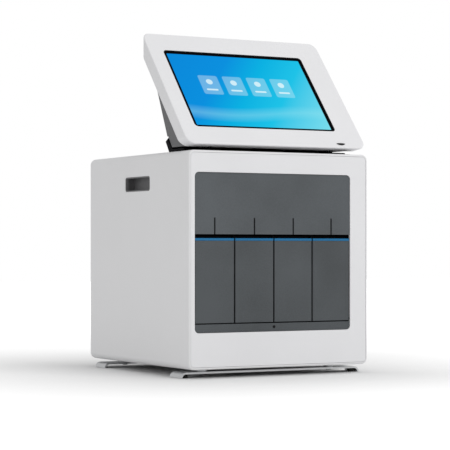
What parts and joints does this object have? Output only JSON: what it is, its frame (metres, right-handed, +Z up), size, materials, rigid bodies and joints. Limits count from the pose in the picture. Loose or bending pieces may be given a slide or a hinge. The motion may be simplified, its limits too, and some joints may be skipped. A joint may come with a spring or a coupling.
{
  "type": "molecular diagnostic analyzer",
  "caption": "Bench-top molecular diagnostic analyzer: white cabinet on foot rails, narrow drop-down doors over cartridge bays, tilting touch screen on top.",
  "frame": {"origin": "on the table, under the middle of the cabinet's width and depth", "axes": "+X to the right seen from the front, the front faces -Y, +Z up"},
  "size_m": [0.28, 0.31, 0.4674],
  "materials": {
    "white_shell": "satin white, faint grain",
    "front_white": "satin white",
    "panel_grey": "fine grain, dark grey",
    "lens_dark": "gloss black",
    "light_blue": "translucent blue",
    "steel": "bright",
    "sheet_steel": "sheet, plain",
    "module_metal": "anodised",
    "pocket_grey": "dark grey",
    "rear_white": "powder coat",
    "fan_black": "black",
    "board_green": "solder mask",
    "supply_metal": "plain",
    "rail_metal": "brushed along its length",
    "foot_rubber": "matt black",
    "screen_white": "satin white",
    "pod_grey": "dark grey, fine grain",
    "base_black": "black, fine grain",
    "screen_glass": "clear front glass over the lit panel",
    "display_blue": "lit display",
    "key_black": "gloss black"
  },
  "bodies": {
    "cabinet": {"outer_sleeve": "white_shell", "front_bezel": "front_white", "upper_fascia": "panel_grey", "sill_strip": "panel_grey", "status_lenses": "lens_dark", "handle_pocket_left": "pocket_grey", "handle_pocket_right": "pocket_grey", "door_hinge_rod": "steel", "bay_dividers": "sheet_steel", "chassis_tray": "sheet_steel", "ultrasonic_horns": "steel", "thermal_blocks": "module_metal", "syringe_motors": "steel", "valve_motors": "steel", "module_boards": "board_green", "main_board": "board_green", "power_supply": "supply_metal", "rear_panel": "rear_white", "fan_frames": "fan_black", "fan_guards": "steel", "power_inlet": "fan_black", "data_port": "steel", "front_foot_rail": "rail_metal", "rear_foot_rail": "rail_metal", "foot_pads": "foot_rubber", "rail_spacers": "rail_metal", "pivot_base": "base_black", "hinge_brackets": "steel", "rest_pads": "foot_rubber", "module_frame_1": "module_metal", "module_frame_2": "module_metal", "module_frame_3": "module_metal", "module_frame_4": "module_metal"},
    "door_body_1": {"door_1": "panel_grey", "door_light_1": "light_blue"},
    "plunger_body_1": {"plunger_1": "steel"},
    "valve_body_1": {"valve_drive_1": "fan_black"},
    "door_body_2": {"door_2": "panel_grey", "door_light_2": "light_blue"},
    "plunger_body_2": {"plunger_2": "steel"},
    "valve_body_2": {"valve_drive_2": "fan_black"},
    "door_body_3": {"door_3": "panel_grey", "door_light_3": "light_blue"},
    "plunger_body_3": {"plunger_3": "steel"},
    "valve_body_3": {"valve_drive_3": "fan_black"},
    "door_body_4": {"door_4": "panel_grey", "door_light_4": "light_blue"},
    "plunger_body_4": {"plunger_4": "steel"},
    "valve_body_4": {"valve_drive_4": "fan_black"},
    "left_fan": {"fan_rotor_left": "fan_black"},
    "right_fan": {"fan_rotor_right": "fan_black"},
    "rocker": {"power_switch": "key_black"},
    "screen": {"screen_front": "screen_white", "screen_back": "screen_white", "touch_glass": "screen_glass", "display_panel": "display_blue", "rear_pod": "pod_grey", "computer_board": "board_green", "tilt_shafts": "steel"},
    "key": {"screen_key": "key_black"}
  },
  "joints": [
    {"name": "door_1_hinge", "type": "hinge", "parent": "cabinet", "child": "door_body_1", "pos_m": [-0.10055, -0.1515, 0.0754], "axis": [1, 0, 0], "range_deg": [0, 85]},
    {"name": "door_2_hinge", "type": "hinge", "parent": "cabinet", "child": "door_body_2", "pos_m": [-0.04005, -0.1515, 0.0754], "axis": [1, 0, 0], "range_deg": [0, 85]},
    {"name": "door_3_hinge", "type": "hinge", "parent": "cabinet", "child": "door_body_3", "pos_m": [0.02045, -0.1515, 0.0754], "axis": [1, 0, 0], "range_deg": [0, 85]},
    {"name": "door_4_hinge", "type": "hinge", "parent": "cabinet", "child": "door_body_4", "pos_m": [0.08095, -0.1515, 0.0754], "axis": [1, 0, 0], "range_deg": [0, 85]},
    {"name": "plunger_1_slide", "type": "slide", "parent": "cabinet", "child": "plunger_body_1", "axis": [0, 0, -1], "range_m": [0, 0.045]},
    {"name": "plunger_2_slide", "type": "slide", "parent": "cabinet", "child": "plunger_body_2", "axis": [0, 0, -1], "range_m": [0, 0.045]},
    {"name": "plunger_3_slide", "type": "slide", "parent": "cabinet", "child": "plunger_body_3", "axis": [0, 0, -1], "range_m": [0, 0.045]},
    {"name": "plunger_4_slide", "type": "slide", "parent": "cabinet", "child": "plunger_body_4", "axis": [0, 0, -1], "range_m": [0, 0.045]},
    {"name": "valve_1_turn", "type": "hinge", "parent": "cabinet", "child": "valve_body_1", "pos_m": [-0.10055, -0.121, 0.0765], "axis": [0, 0, 1], "continuous": true},
    {"name": "valve_2_turn", "type": "hinge", "parent": "cabinet", "child": "valve_body_2", "pos_m": [-0.04005, -0.121, 0.0765], "axis": [0, 0, 1], "continuous": true},
    {"name": "valve_3_turn", "type": "hinge", "parent": "cabinet", "child": "valve_body_3", "pos_m": [0.02045, -0.121, 0.0765], "axis": [0, 0, 1], "continuous": true},
    {"name": "valve_4_turn", "type": "hinge", "parent": "cabinet", "child": "valve_body_4", "pos_m": [0.08095, -0.121, 0.0765], "axis": [0, 0, 1], "continuous": true},
    {"name": "left_fan_spin", "type": "hinge", "parent": "cabinet", "child": "left_fan", "pos_m": [-0.062, 0.1377, 0.228], "axis": [0, 1, 0], "continuous": true},
    {"name": "right_fan_spin", "type": "hinge", "parent": "cabinet", "child": "right_fan", "pos_m": [0.062, 0.1377, 0.228], "axis": [0, 1, 0], "continuous": true},
    {"name": "power_rocker", "type": "hinge", "parent": "cabinet", "child": "rocker", "pos_m": [-0.061, 0.1475, 0.058], "axis": [1, 0, 0], "range_deg": [0, 14]},
    {"name": "screen_tilt", "type": "hinge", "parent": "cabinet", "child": "screen", "pos_m": [0, -0.125, 0.312], "axis": [1, 0, 0], "range_deg": [0, 10]},
    {"name": "key_press", "type": "slide", "parent": "screen", "child": "key", "axis": [0, 0.7578, -0.6525], "range_m": [0, 0.001], "stiffness_N_per_m": 800}
  ]
}
